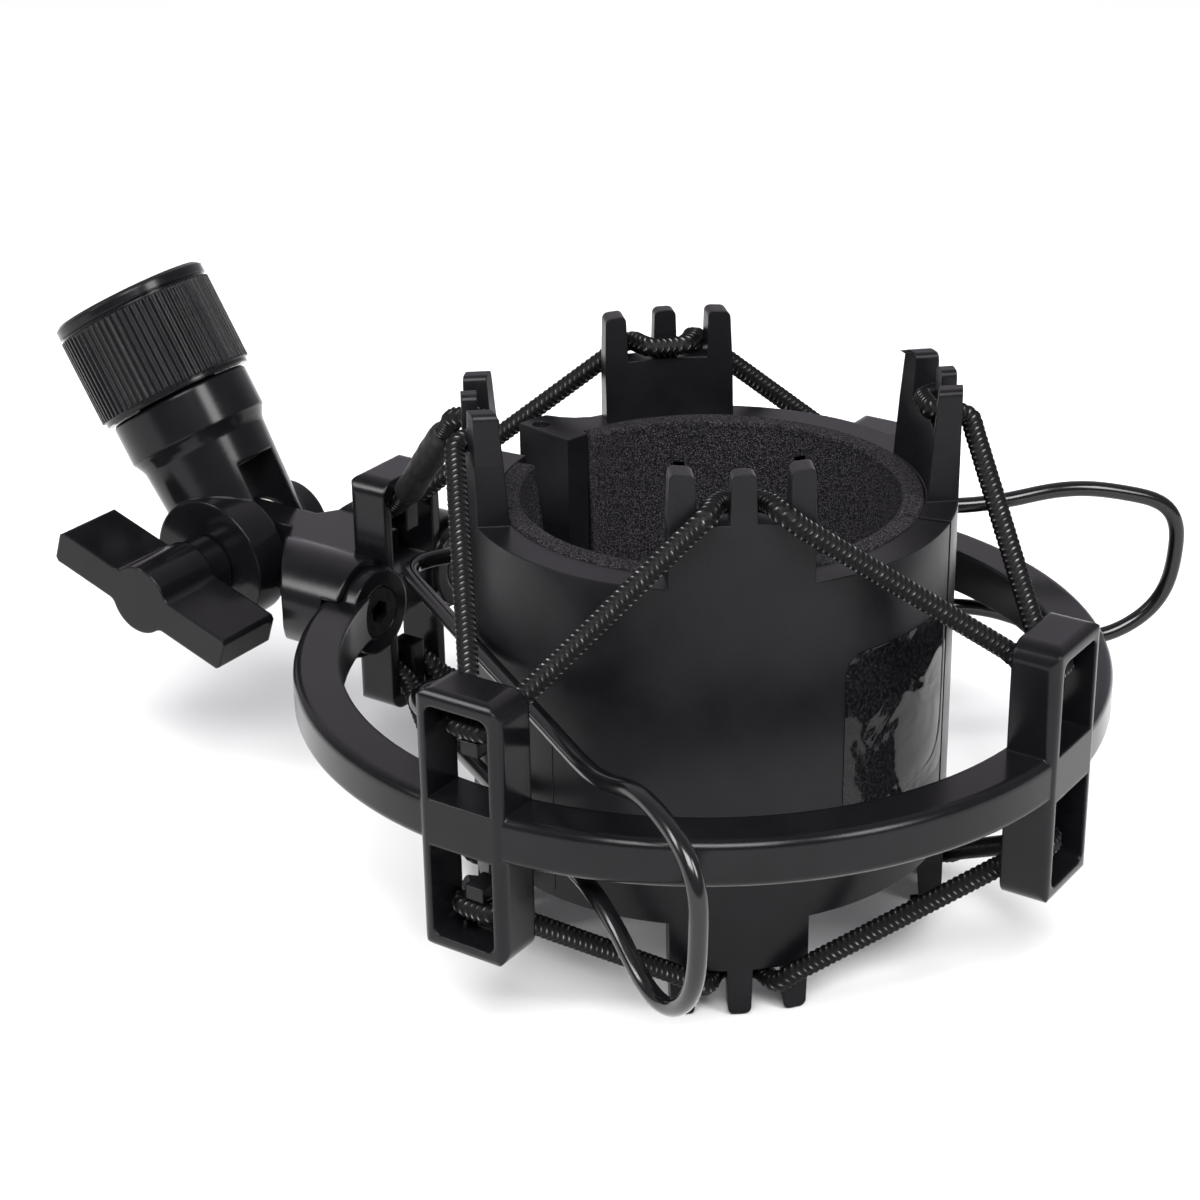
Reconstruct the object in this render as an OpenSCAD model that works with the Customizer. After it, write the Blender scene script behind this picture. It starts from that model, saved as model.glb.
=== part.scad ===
// Spring-clip shock mount for a studio microphone: a split basket lined with foam hangs on two
// zigzag elastics inside a ring with four yokes, which a tilting threaded socket holds on a stand.
// Origin on the basket's axis at the ring's mid-height, +Z up, stand bracket along -X.

/* [Ring and yokes] */
// Outer diameter of the ring
ring_od = 106; // [100:1:114]
// Radial width of the ring and of its yokes
ring_w = 6.1; // [5.4:0.1:7]
// Height of the ring
ring_h = 6.1; // [5:0.1:7]
// Rounding of the ring's outer edges
ring_round = 1.2; // [0.6:0.1:2]
// Width of a yoke along the ring
yoke_w = 12.2; // [11.6:0.1:13]
// Height of a yoke
yoke_h = 34.4; // [32:0.2:38]
// Wall beside a yoke's windows
yoke_side = 1.6; // [1.3:0.1:1.9]
// Bar above and below a yoke's windows
yoke_bar = 1.9; // [1.5:0.1:2.5]
// Width of the hook tongue inside a window
tongue_w = 2.6; // [2:0.1:3]
// Thickness of the hook tongue
tongue_t = 1.7; // [1.4:0.1:2]
// Free length of the hook tongue below its bar
tongue_l = 6.6; // [6.2:0.1:7.4]
// Height of the hook's nub
nub_h = 1.9; // [1.5:0.1:2.2]
// How far the nub stands out from the tongue
nub_out = 2; // [1.5:0.1:2.2]

/* [Basket] */
// Outside radius of the basket's shells
shell_r = 31.2; // [30:0.1:32]
// Wall thickness of the shells
shell_wall = 4.1; // [3.8:0.1:4.5]
// Top of the basket's rim above the ring's mid-height
rim_top = 24.7; // [23:0.1:27]
// Bottom of the basket's rim, below the ring's mid-height
rim_bottom = 20.4; // [18:0.1:23]
// How far the basket hangs off the ring's centre, away from the bracket
hang_x = 1.4; // [0:0.1:2]
// Direction of the slit between the two shells, opposite the hinge
slit_angle = 12.6; // [11.5:0.1:16]
// Width of that slit
slit_gap = 0.8; // [0.5:0.1:1.5]
// Thickness of the foam lining
foam_t = 2.9; // [2:0.1:4]
// How far the foam stands above the rim
foam_proud = 0.3; // [0:0.1:1]

/* [Finger groups] */
// Width of a finger group
group_w = 17.4; // [17:0.1:18]
// Height of the top plate above the rim
top_plate_h = 8.2; // [7.5:0.1:10]
// Height of the bottom plate below the rim
bottom_plate_h = 6.6; // [5:0.1:9]
// Height of the fingers above their plate
finger_h = 6.3; // [5.5:0.1:7.5]
// Width of a finger at its root
finger_w = 3.3; // [3.1:0.1:3.4]
// Width lost over the height of a finger
finger_taper = 0.4; // [0:0.1:0.9]
// Radial thickness lost between the rim and the tips of the fingers
group_draft = 1; // [0.4:0.1:1.4]
// Radial thickness of the centre finger
centre_t = 2; // [1.7:0.1:2.2]
// Direction of the front group
front_group_angle = 308.8; // [306:0.1:312]
// Direction of the right group
right_group_angle = 42; // [40:0.1:46]
// Direction of the back group
back_group_angle = 133.8; // [132:0.1:135]
// Direction of the left group, beside the bracket
left_group_angle = 218.7; // [216:0.1:227]

/* [Basket hinge] */
// How far the hinge pin's axis stands outside the shells
pin_out = 1.8; // [1.5:0.1:2.1]
// Direction of the hinge pin
pin_angle = 165.5; // [165:0.1:166]
// Diameter of the hinge pin
pin_d = 2.2; // [1.8:0.1:2.3]
// Radial running clearance of pins and shafts
fit = 0.06; // [0.03:0.01:0.09]
// Half height of the hinge's middle gap
gap_half = 7.4; // [6.6:0.1:8.2]
// Outside diameter of the front shell's knuckle
knuckle_d = 6; // [5.4:0.1:6.2]
// Thickness of the hinge spring's wire
spring_wire = 0.8; // [0.6:0.1:0.9]
// Turns of the hinge spring
spring_turns = 5; // [3:1:5]

/* [Handles] */
// Diameter of the handle wire
wire_d = 2.2; // [1.8:0.1:2.4]
// Half the distance between a handle's two legs at the bracket
leg_half = 9.5; // [9.2:0.1:10]
// Angle between a handle's legs and the bracket's direction
leg_angle = 32.6; // [31.6:0.1:33.6]
// Direction in which the front handle's loop points
front_splay = -28; // [-36:1:-22]
// Direction in which the rear handle's loop points
rear_splay = 42; // [34:1:50]
// Reach of the front handle's loop past the bend at the ring
front_reach = 22; // [18:0.5:26]
// Reach of the rear handle's loop past the bend at the ring
rear_reach = 28; // [22:0.5:31]
// Height of the front handle's loop
front_rise = 13; // [11:0.2:14]
// Height of the rear handle's loop
rear_rise = 11.4; // [10.6:0.2:13]

/* [Elastics] */
// Diameter of the elastic cord
cord_d = 2.6; // [2:0.1:2.7]
// Outside diameter of the splice sleeve
sleeve_d = 4; // [3.6:0.1:4.4]
// Length of the splice sleeve
sleeve_l = 23; // [10:0.5:24]

/* [Stand bracket] */
// Distance of the screws from the bracket's middle plane
boss_y = 9.6; // [9.2:0.1:10]
// Diameter of the screw bosses
boss_d = 14; // [13:0.1:14.6]
// Distance of the tilt pivot from the ring's axis
pivot_x = 76.5; // [74:0.5:80]
// Thickness of the bracket's tongue
blade_t = 5.6; // [5:0.1:6]
// Height of the bracket's tongue
blade_h = 11.4; // [10:0.1:11.6]
// Thread diameter of the cap screws
screw_d = 4; // [3:0.5:4.5]
// Length of the cap screws under the head
screw_l = 12; // [10:1:14]

/* [Stand socket] */
// Tilt of the socket above the bracket's direction
socket_tilt = 58.5; // [40:0.5:75]
// Distance from the pivot to the collar
collar_off = 23.8; // [22:0.1:27]
// Outside diameter of the collar
collar_d = 23.2; // [22:0.1:25]
// Length of the collar
collar_l = 15.9; // [14:0.1:18]
// Number of knurl ridges on the collar
knurl_n = 72; // [48:1:90]
// Depth of the knurl
knurl_depth = 0.35; // [0.2:0.05:0.6]
// Major diameter of the stand thread
thread_d = 15.875; // [15.6:0.005:16]
// Outside diameter of the socket below the collar
neck_d = 20.8; // [20:0.1:21.6]
// Outside diameter of the socket's waist
waist_d = 18.8; // [18:0.1:19.4]
// Width over the socket's two ears
ears_w = 19.2; // [18.4:0.1:20.4]
// Outside diameter of an ear
ear_d = 19; // [18.4:0.1:20]
// Thickness of a friction washer
washer_t = 0.8; // [0.5:0.1:1]
// Diameter of the knob's stud
stud_d = 5; // [4:0.5:6]

/* [Wing knob] */
// Length of the knob's bar
bar_l = 31; // [26:0.5:32]
// Thickness of the bar
bar_h = 4.8; // [4:0.1:6]
// Diameter of the hub in the bar's middle
hub_d = 9.8; // [8.6:0.1:11]
// Depth of the bar along its axis
bar_depth = 10.4; // [8:0.1:12]
// Turn of the bar at rest
bar_turn = 18.5; // [-60:0.5:60]
// Diameter of the knob's neck
knob_neck_d = 9; // [8:0.5:10]
// Length of the knob's neck
knob_neck_l = 4; // [2:0.1:6]

/* [Hidden] */
$fn = 64;

// Ring and yokes
ring_r = ring_od / 2;
ring_in = ring_r - ring_w;
window_w = yoke_w - 2 * yoke_side;
window_top = yoke_h / 2 - yoke_bar;
window_round = 1.3;
yoke_round = 2.4;
nub_z = window_top - tongue_l;
pad_d = 12;
pad_t = 1.2;
pad_root = 1;
seat_gap = 0.1;

// Basket
foam_r = shell_r - shell_wall;
foam_gap = 0.05;
bore_r = foam_r - foam_t;
shelf_top = rim_top + top_plate_h;
shelf_bottom = -(rim_bottom + bottom_plate_h);
finger_pitch = (group_w - finger_w) / 2;
tip_round = 0.8;
rim_step = 0.2;
slit_half = asin(slit_gap / 2 / shell_r);
front_from = 185;
rear_to = 168.7;
block_from = 161;
pin_off = shell_r + pin_out;
block_in = foam_r - 1.2;
block_out = pin_off + 2.3;
pin_x = pin_off * cos(pin_angle);
pin_y = pin_off * sin(pin_angle);
knuckle_room = 0.35;
hole_l = 60;
leg_off = shell_r + wire_d / 2 + 0.2;
knee_back = 28.6;
bend_ahead = 39;
bend_r = 6;
lug_half = leg_half + wire_d / 2 + 0.9;
knuckle_top = 1.8;
pin_recess = 1.2;

// Stand bracket and socket
ring_x = -hang_x;
tilt_x = ring_x - pivot_x;
screw_r = screw_d / 2;
head_d = screw_d * 1.75;
head_x = ring_x - (ring_in - pad_t);
blade_half = blade_t / 2;
slot_half = blade_half + washer_t + 0.1;
socket_turn = socket_tilt - 90;
slot_top = 11;
stud_r = stud_d / 2;
nut_af = stud_d * 1.6;
nut_h = stud_d * 0.8;
nut_face = ears_w / 2 - 0.3;
spigot_d = 12;
flange_t = 2.4;
clip_t = 1;
insert_r = thread_d / 2;
insert_wall = 1;
insert_l = 10;
hub_run = 1.4;
bar_chamfer = 0.5;

// ---- helpers ----

function unit(v) = v / norm(v);
function polar(r, a, z = 0) = [r * cos(a), r * sin(a), z];
function polar2(r, a) = [r * cos(a), r * sin(a)];
function last(v) = v[len(v) - 1];

// A corner b between a and c, rounded with a curve that starts r along each side
function corner(a, b, c, r, n) =
    let (p = b + unit(a - b) * min(r, norm(a - b) * 0.49),
         q = b + unit(c - b) * min(r, norm(c - b) * 0.49))
    [for (i = [0:n]) let (t = i / n) p * (1 - t) * (1 - t) + b * 2 * t * (1 - t) + q * t * t];

// An open path with every corner rounded
function soft_path(p, r, n = 3) = concat([p[0]],
    [for (i = [1:len(p) - 2]) each corner(p[i - 1], p[i], p[i + 1], r, n)], [last(p)]);

// Frames carried along a path without twist
function side_of(d, up) = unit(up - d * (up * d));
function dirs(p, closed) = let (n = len(p)) [for (i = [0:n - 1])
    unit((closed ? p[(i + 1) % n] : p[min(i + 1, n - 1)]) -
         (closed ? p[(i + n - 1) % n] : p[max(i - 1, 0)]))];
function carried(d, i = 0, up = [0, 0, 1]) = i == len(d) ? [] :
    let (s = side_of(d[i], up)) concat([s], carried(d, i + 1, s));

// A round tube swept along a path; a closed path joins its own start
module sweep(p, d, sides, closed = false) {
    n = len(p);
    t = dirs(p, closed);
    s = carried(t, 0, abs(t[0].z) > 0.9 ? [1, 0, 0] : [0, 0, 1]);
    turn = closed ? atan2(s[0] * cross(t[0], last(s)), s[0] * side_of(t[0], last(s))) : 0;
    rings = [for (i = [0:n - 1], k = [0:sides - 1])
        let (a = 360 * k / sides + turn * i / n)
        p[i] + (s[i] * cos(a) + cross(t[i], s[i]) * sin(a)) * d / 2];
    faces = [for (i = [0:n - (closed ? 1 : 2)], k = [0:sides - 1])
        let (a = i * sides, b = ((i + 1) % n) * sides, m = (k + 1) % sides)
        each [[a + k, b + k, a + m], [a + m, b + k, b + m]]];
    caps = closed ? [] : [[for (k = [0:sides - 1]) k],
        [for (k = [sides - 1:-1:0]) (n - 1) * sides + k]];
    polyhedron(rings, concat(faces, caps));
}

// A cylinder from one point to another
module rod(a, b, d) {
    v = b - a;
    translate(a) rotate([0, acos(v.z / norm(v)), atan2(v.y, v.x)]) cylinder(h = norm(v), d = d);
}

module tube(r_in, r_out, z0, z1) {
    translate([0, 0, z0]) difference() {
        cylinder(h = z1 - z0, r = r_out, $fn = 128);
        translate([0, 0, -1]) cylinder(h = z1 - z0 + 2, r = r_in, $fn = 128);
    }
}

// A stretch of tube between two directions
module arc_wall(r_in, r_out, z0, z1, a0, a1) {
    rotate([0, 0, a0]) translate([0, 0, z0])
        rotate_extrude(angle = a1 - a0, $fn = 128)
            translate([r_in, 0]) square([r_out - r_in, z1 - z0]);
}

// A rectangle with round corners, about its centre
module round_rect(w, h, r) {
    square([w - 2 * r, h], center = true);
    square([w, h - 2 * r], center = true);
    for (x = [-1, 1], y = [-1, 1])
        translate([x * (w / 2 - r), y * (h / 2 - r)]) circle(r = r, $fn = 24);
}

// ---- ring and yokes ----

// A yoke's window, round at the corners away from the ring
module window_outline() {
    window_h = window_top - ring_h / 2;
    translate([0, ring_h / 2 + window_h / 2]) round_rect(window_w, window_h, window_round);
    translate([-window_w / 2, ring_h / 2]) square([window_w, window_h / 2]);
}

// The ring's width by h, with the two outer corners rounded
module outer_rounded(h) {
    translate([0, -h / 2]) square([ring_w - ring_round, h]);
    translate([0, -h / 2 + ring_round]) square([ring_w, h - 2 * ring_round]);
    for (y = [-1, 1]) translate([ring_w - ring_round, y * (h / 2 - ring_round)])
        circle(r = ring_round, $fn = 24);
}

// A yoke's block, with the ring's rounding on its outer edges
module yoke_block() {
    intersection() {
        rotate([90, 0, 90]) linear_extrude(ring_w) round_rect(yoke_w, yoke_h, yoke_round);
        rotate([90, 0, 0]) linear_extrude(yoke_w + 2, center = true) outer_rounded(yoke_h);
        linear_extrude(yoke_h + 2, center = true) outer_rounded(yoke_w);
    }
}

// A yoke on the +X side: windows, and a tongue with a nub in each
module yoke() {
    translate([ring_in, 0, 0]) difference() {
        yoke_block();
        for (z = [0, 1]) mirror([0, 0, z]) translate([-1, 0, 0])
            rotate([90, 0, 90]) linear_extrude(ring_w + 2) window_outline();
    }
    for (z = [0, 1]) mirror([0, 0, z]) {
        translate([ring_in, -tongue_w / 2, nub_z]) cube([tongue_t, tongue_w, tongue_l + 0.5]);
        translate([ring_in, -tongue_w / 2, nub_z]) cube([tongue_t + nub_out, tongue_w, nub_h]);
    }
}

module outer_ring() {
    color("#1c1b1e") translate([ring_x, 0, 0]) difference() {
        union() {
            rotate_extrude($fn = 128) translate([ring_in, 0]) outer_rounded(ring_h);
            for (a = [0:90:270]) rotate([0, 0, a]) yoke();
            for (y = [-1, 1]) translate([-ring_in - pad_root, y * boss_y, 0])
                rotate([0, 90, 0]) cylinder(h = pad_t + pad_root, d = pad_d);
        }
        for (y = [-1, 1]) translate([-ring_r - 1, y * boss_y, 0]) rotate([0, 90, 0]) {
            cylinder(h = ring_w + 4, d = screw_d + 0.5);
            translate([0, 0, ring_w + 1 - screw_d + pad_t])
                cylinder(h = screw_d + 3, d = head_d + 0.4);
        }
    }
}

// ---- stand bracket ----

module arm_body() {
    // tongue with a round end at the pivot
    translate([-pivot_x, 0, 0]) rotate([90, 0, 0]) linear_extrude(blade_t, center = true) {
        circle(d = blade_h);
        translate([0, -blade_h / 2]) square([pivot_x - ring_r + 4, blade_h]);
    }
    // splayed web and screw bosses, cut off along the splay
    intersection() {
        translate([0, 0, -boss_d / 2]) linear_extrude(boss_d) polygon([
            [-pivot_x + 10, -blade_half], [-pivot_x + 10, blade_half],
            [-ring_r - 4.5, boss_y + boss_d / 2 - 0.4], [-ring_r - 3, boss_y + boss_d / 2 + 1],
            [-ring_in, boss_y + boss_d / 2 + 1], [-ring_in, -boss_y - boss_d / 2 - 1],
            [-ring_r - 3, -boss_y - boss_d / 2 - 1], [-ring_r - 4.5, -boss_y - boss_d / 2 + 0.4]]);
        union() {
            for (y = [-1, 1]) translate([-pivot_x, y * boss_y, 0]) rotate([0, 90, 0])
                cylinder(h = pivot_x - ring_in - pad_root - seat_gap, d = boss_d);
            translate([-pivot_x, -boss_y, -blade_h / 2])
                cube([pivot_x - ring_r, 2 * boss_y, blade_h]);
        }
    }
}

module bracket_arm() {
    color("#1b1b1d") translate([ring_x, 0, 0]) difference() {
        arm_body();
        // seat over the ring
        rotate_extrude($fn = 128) translate([ring_in - 1, -ring_h / 2 - seat_gap])
            square([ring_w + seat_gap + 1, ring_h + 2 * seat_gap]);
        // seat against the yoke
        translate([-ring_r - seat_gap, -yoke_w / 2 - seat_gap, -yoke_h / 2])
            cube([ring_w + 3, yoke_w + 2 * seat_gap, yoke_h]);
        for (y = [-1, 1]) translate([-ring_r - screw_l, y * boss_y, 0]) rotate([0, 90, 0])
            cylinder(h = screw_l + 2, r = screw_r + fit);
        for (y = [-1, 1]) translate([-ring_in + pad_t - screw_d - 0.1, y * boss_y, 0])
            rotate([0, 90, 0]) cylinder(h = 2 * screw_d, d = head_d + 0.4);
        translate([-pivot_x, 0, 0]) rotate([90, 0, 0])
            cylinder(h = blade_t + 2, r = stud_r + fit, center = true);
    }
}

module cap_screw() {
    rotate([0, 90, 0]) difference() {
        union() {
            translate([0, 0, -screw_d - screw_l]) cylinder(h = screw_l + 0.5, r = screw_r);
            translate([0, 0, -screw_d]) cylinder(h = screw_d, d = head_d);
        }
        translate([0, 0, -screw_d * 0.55]) cylinder(h = screw_d, d = screw_d * 0.87, $fn = 6);
    }
}

module bracket_screws() {
    color("#161617") for (y = [-1, 1]) translate([head_x, y * boss_y, 0]) cap_screw();
}

// ---- basket ----

// A finger's outline, tapered and with round tip corners, rising from z = 0
module finger_outline() {
    tip = finger_w - finger_taper;
    polygon(concat([[-finger_w / 2, -0.5], [finger_w / 2, -0.5]],
        [for (a = [0:22.5:90]) [tip / 2 - tip_round + tip_round * cos(a),
            finger_h - tip_round + tip_round * sin(a)]],
        [for (a = [90:22.5:180]) [-tip / 2 + tip_round + tip_round * cos(a),
            finger_h - tip_round + tip_round * sin(a)]]));
}

// Outline of a plate with its three fingers, rising from z = 0
module group_outline(plate_h) {
    translate([-group_w / 2, -2]) square([group_w, plate_h + 2]);
    for (k = [-1, 0, 1]) translate([k * finger_pitch, plate_h]) finger_outline();
}

// What stands above the rim: everything but the groups is cut away
module above_rim(plate_h, angles) {
    difference() {
        cylinder(h = plate_h + finger_h + 1, r = shell_r + 5);
        for (a = angles) rotate([0, 0, a]) translate([foam_r - 6, 0, 0]) rotate([90, 0, 90])
            linear_extrude(shell_wall + 8) group_outline(plate_h);
    }
    cylinder(h = plate_h + finger_h, r1 = foam_r + rim_step, r2 = foam_r + rim_step + group_draft,
        $fn = 128);
    for (a = angles) rotate([0, 0, a])
        translate([shell_r - centre_t - 8, -finger_w / 2 - 0.4, plate_h])
            cube([8, finger_w + 0.8, finger_h + 1]);
}

// Half of the basket's wall with its groups, between two directions
module half_wall(a0, a1, angles) {
    difference() {
        arc_wall(foam_r, shell_r, shelf_bottom - finger_h, shelf_top + finger_h, a0, a1);
        translate([0, 0, rim_top]) above_rim(top_plate_h, angles);
        translate([0, 0, -rim_bottom]) mirror([0, 0, 1]) above_rim(bottom_plate_h, angles);
    }
}

module wire_holes(path) {
    for (e = [[path[0], path[1]], [last(path), path[len(path) - 2]]])
        rod(e[0] + unit(e[0] - e[1]) * 0.2, e[1], wire_d + 2 * fit);
}

module front_shell() {
    color("#19191b") difference() {
        union() {
            half_wall(front_from, 360 + slit_angle - slit_half,
                [left_group_angle, front_group_angle]);
            front_lug();
        }
        translate([pin_x, pin_y, 0]) cylinder(h = hole_l, d = pin_d + 2 * fit, center = true);
        wire_holes(front_wire);
    }
}

// Plan of the arm from the front shell's end to the pin, its root inside the wall
module lug_plan() {
    pin = [pin_x, pin_y];
    along = unit([lug_root.x, lug_root.y] - pin);
    across = [along.y, -along.x] * knuckle_d * 0.38;
    polygon([pin + across, polar2(shell_r - 0.7, front_from + 3),
        polar2(foam_r + 0.7, front_from + 3), pin - across]);
}

// Arm and knuckle; the arm is full height only where it is clear of the hinge block
module front_lug() {
    middle = gap_half - knuckle_room;
    translate([pin_x, pin_y, -middle]) cylinder(h = middle + knuckle_top, d = knuckle_d);
    difference() {
        translate([0, 0, -lug_half]) linear_extrude(2 * lug_half) lug_plan();
        for (z = [knuckle_top, -middle - lug_half]) translate([pin_x, pin_y, z])
            cylinder(h = lug_half, r = knuckle_d / 2 + 1.7);
    }
}

module rear_shell() {
    color("#19191b") difference() {
        union() {
            half_wall(slit_angle + slit_half, rear_to - 1,
                [right_group_angle, back_group_angle]);
            translate([0, 0, -rim_bottom]) linear_extrude(rim_top + rim_bottom) block_plan();
        }
        arc_wall(pin_off - knuckle_d / 2 - 2 * knuckle_room, block_out + 1,
            -gap_half, gap_half, block_from - 3.5, rear_to + 2);
        translate([pin_x, pin_y, 0]) cylinder(h = hole_l, d = pin_d + 2 * fit, center = true);
        wire_holes(rear_wire);
    }
}

// Plan of the hinge block, with a concave run-out to the barrel
module block_plan() {
    polygon([polar2(block_in, rear_to), polar2(block_out, rear_to),
        polar2(block_out + 0.15, (rear_to + block_from) / 2), polar2(block_out, block_from),
        polar2(shell_r + 2.2, block_from - 2), polar2(shell_r + 0.9, block_from - 4.5),
        polar2(shell_r + 0.25, block_from - 7), polar2(shell_r - 0.5, block_from - 9.5),
        polar2(foam_r + 0.8, block_from - 9.5), polar2(foam_r + 0.8, block_from - 0.5),
        polar2(block_in, block_from)]);
}

module front_foam() {
    color("#232126") arc_wall(bore_r, foam_r - foam_gap, -rim_bottom,
        rim_top + foam_proud, front_from + 1, 360 + slit_angle - slit_half);
}

module rear_foam() {
    color("#232126") arc_wall(bore_r, foam_r - foam_gap, -rim_bottom,
        rim_top + foam_proud, slit_angle + slit_half, block_from - 1);
}

module hinge_pin() {
    color("#8a8a8c") translate([pin_x, pin_y, -rim_bottom + pin_recess])
        cylinder(h = rim_top + rim_bottom - 2 * pin_recess, d = pin_d);
}

module hinge_spring() {
    coil_r = (pin_d + knuckle_d) / 4 + 0.1;
    from = knuckle_top + spring_wire;
    pitch = (gap_half - knuckle_top - 2 * spring_wire) / spring_turns;
    steps = 12;
    color("#77777a") sweep([for (i = [0:spring_turns * steps])
        [pin_x, pin_y, from + pitch * i / steps] + polar(coil_r, 360 * i / steps)],
        spring_wire, 6);
}

// ---- handles ----

// A point on a handle's leg, measured along it from where it passes the basket
function on_leg(side, along) = [along * cos(leg_angle) - leg_off * sin(leg_angle),
    side * (along * sin(leg_angle) + leg_off * cos(leg_angle)), 0];

// Route of a handle: side is -1 in front and 1 behind
function handle_route(side, splay, reach, rise, root) =
    let (knee = on_leg(side, -knee_back), bend = on_leg(side, bend_ahead),
        up = [0, 0, leg_half], k = reach / 22)
    let (loop = [for (p = [[0, 9], [10, rise], [22.6, rise - 4], [21.6, -8], [13, -14], [0, -6]])
        bend + polar(p.x * k, splay, p.y)])
    concat([root + up, knee + up], loop, [knee - up, root - up]);

pin_at = [pin_x, pin_y, 0];
lug_root = polar(shell_r - shell_wall / 2, front_from + 3);
front_wire = handle_route(-1, front_splay, front_reach, front_rise,
    (pin_at + lug_root) / 2);
rear_wire = handle_route(1, rear_splay, rear_reach, rear_rise,
    polar(shell_r - 0.6, block_from - 4));

module handle(path) {
    color("#141415") sweep(soft_path(path, bend_r, 5), wire_d, 12);
}

module front_handle() {
    handle(front_wire);
}

module rear_handle() {
    handle(rear_wire);
}

// ---- elastics ----

// The cord's stops round a finger group: inside the centre finger, then out through the slots
cord_rest = cord_d / 2 + 0.15;
function mirrored(p) = concat([for (i = [len(p) - 1:-1:0]) [-p[i].x, p[i].y, p[i].z]], p);
function group_stops(a, z) = let (u = polar(1, a), v = polar(1, a + 90), w = finger_w / 2,
    edge = finger_pitch - w)
    [for (s = mirrored([[w + 0.6, shell_r - centre_t - cord_rest, 0],
        [finger_pitch / 2, shell_r - 1.6, 0.1], [edge - 1.5, shell_r - 0.1, 0.05],
        [edge - 0.5, shell_r + cord_rest - 0.4, -0.35], [edge + 0.7, shell_r + cord_rest - 0.35, -1.45]]))
        [0, 0, z + sign(z) * (cord_rest + 0.2 + s.z)] + u * s.y + v * s.x];

// The cord's stops at a yoke: through the slots, round the outside of the tongue
function yoke_stops(a, z) = let (u = polar(1, a), v = polar(1, a + 90),
    slot = (tongue_w + window_w) / 4, out = ring_in + tongue_t + cord_rest)
    [for (s = mirrored([[tongue_w / 2, out + 0.1, 0], [slot - 0.6, out - 0.15, 0],
        [slot, out - 1.1, 0], [slot - 0.1, ring_in, 1.2], [slot + 0.6, ring_in - 1.5, 2.65]]))
        [ring_x, 0, z + sign(z) * s.z] + u * s.y + v * s.x];

hook_z = nub_z + nub_h + cord_rest;
group_angles = [right_group_angle, back_group_angle, left_group_angle, front_group_angle];
function elastic_route(shelf, hook) = [for (k = [0:3])
    each concat(yoke_stops(90 * k, hook), group_stops(group_angles[k], shelf))];
top_route = elastic_route(shelf_top, hook_z);
bottom_route = elastic_route(shelf_bottom, -hook_z);

// Sleeve on the straight run that starts at stop i
module sleeve(route, i, from) {
    a = route[i];
    d = unit(route[i + 1] - a);
    color("#1f1e20") difference() {
        rod(a + d * from, a + d * (from + sleeve_l), sleeve_d);
        rod(a + d * (from - 1), a + d * (from + sleeve_l + 1), cord_d + 0.1);
    }
}

// Number of stops at a yoke, and from one yoke to the next
yoke_stop_count = len(yoke_stops(0, 1));
quarter_count = yoke_stop_count + len(group_stops(0, 1));

module top_elastic() {
    color("#222224") sweep(top_route, cord_d, 8, closed = true);
}

module bottom_elastic() {
    color("#222224") sweep(bottom_route, cord_d, 8, closed = true);
}

module top_sleeve() {
    sleeve(top_route, 2 * quarter_count + yoke_stop_count - 1, 2);
}

module bottom_sleeve() {
    sleeve(bottom_route, 2 * quarter_count - 1, 3.5);
}

// ---- stand socket: local Z along the socket, pivot along Y at the origin ----

module at_socket() {
    translate([tilt_x, 0, 0]) rotate([0, socket_turn, 0]) children();
}

module socket_profile() {
    polygon([[0, -ear_d / 2], [waist_d / 2 - 0.6, -ear_d / 2], [waist_d / 2 - 0.6, 4],
        [waist_d / 2, 15.4], [waist_d / 2 + 0.2, 16], [neck_d / 2 - 0.3, 17],
        [neck_d / 2, 17.4], [neck_d / 2, collar_off - 0.6], [neck_d / 2 - 0.4, collar_off - 0.2],
        [spigot_d / 2, collar_off - 0.2], [spigot_d / 2, collar_off + flange_t + 0.2],
        [spigot_d / 2 - 0.8, collar_off + flange_t + 0.2],
        [spigot_d / 2 - 0.8, collar_off + flange_t + 0.3 + clip_t],
        [spigot_d / 2, collar_off + flange_t + 0.3 + clip_t],
        [spigot_d / 2, collar_off + flange_t + 1.2 + clip_t],
        [0, collar_off + flange_t + 1.2 + clip_t]]);
}

module stand_socket() {
    color("#1b1b1d") at_socket() difference() {
        union() {
            intersection() {
                rotate_extrude($fn = 96) socket_profile();
                union() {
                    translate([-20, -20, 0]) cube([40, 40, 50]);
                    rotate([90, 0, 0]) cylinder(h = 40, d = ear_d, center = true);
                }
            }
            rotate([90, 0, 0]) cylinder(h = ears_w / 2, d = ear_d, $fn = 96);
            rotate([-90, 0, 0]) cylinder(h = nut_face, d = ear_d * 0.68);
        }
        // slot for the bracket's tongue
        translate([-ear_d, -slot_half, -ear_d])
            cube([2 * ear_d, 2 * slot_half, ear_d + slot_top]);
        rotate([90, 0, 0]) cylinder(h = ears_w + 2, r = stud_r + fit, center = true);
        translate([0, nut_face - nut_h, 0]) rotate([-90, 0, 0])
            cylinder(h = nut_h + 1, d = (nut_af + 0.2) / cos(30), $fn = 6);
        translate([0, 0, collar_off - 4]) cylinder(h = 20, d = 6);
    }
}

module tilt_washers() {
    color("#d8d6cf") translate([tilt_x, 0, 0]) rotate([90, 0, 0]) for (s = [-1, 1])
        translate([0, 0, s * (blade_half + 0.05 + washer_t / 2)]) difference() {
            cylinder(h = washer_t, d = blade_h - 0.6, center = true);
            cylinder(h = washer_t + 1, r = stud_r + fit, center = true);
        }
}

module tilt_nut() {
    color("#7d7d80") at_socket() translate([0, nut_face - nut_h + 0.05, 0])
        rotate([-90, 0, 0]) difference() {
            cylinder(h = nut_h - 0.1, d = nut_af / cos(30), $fn = 6);
            translate([0, 0, -1]) cylinder(h = nut_h + 2, r = stud_r + fit);
        }
}

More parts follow.
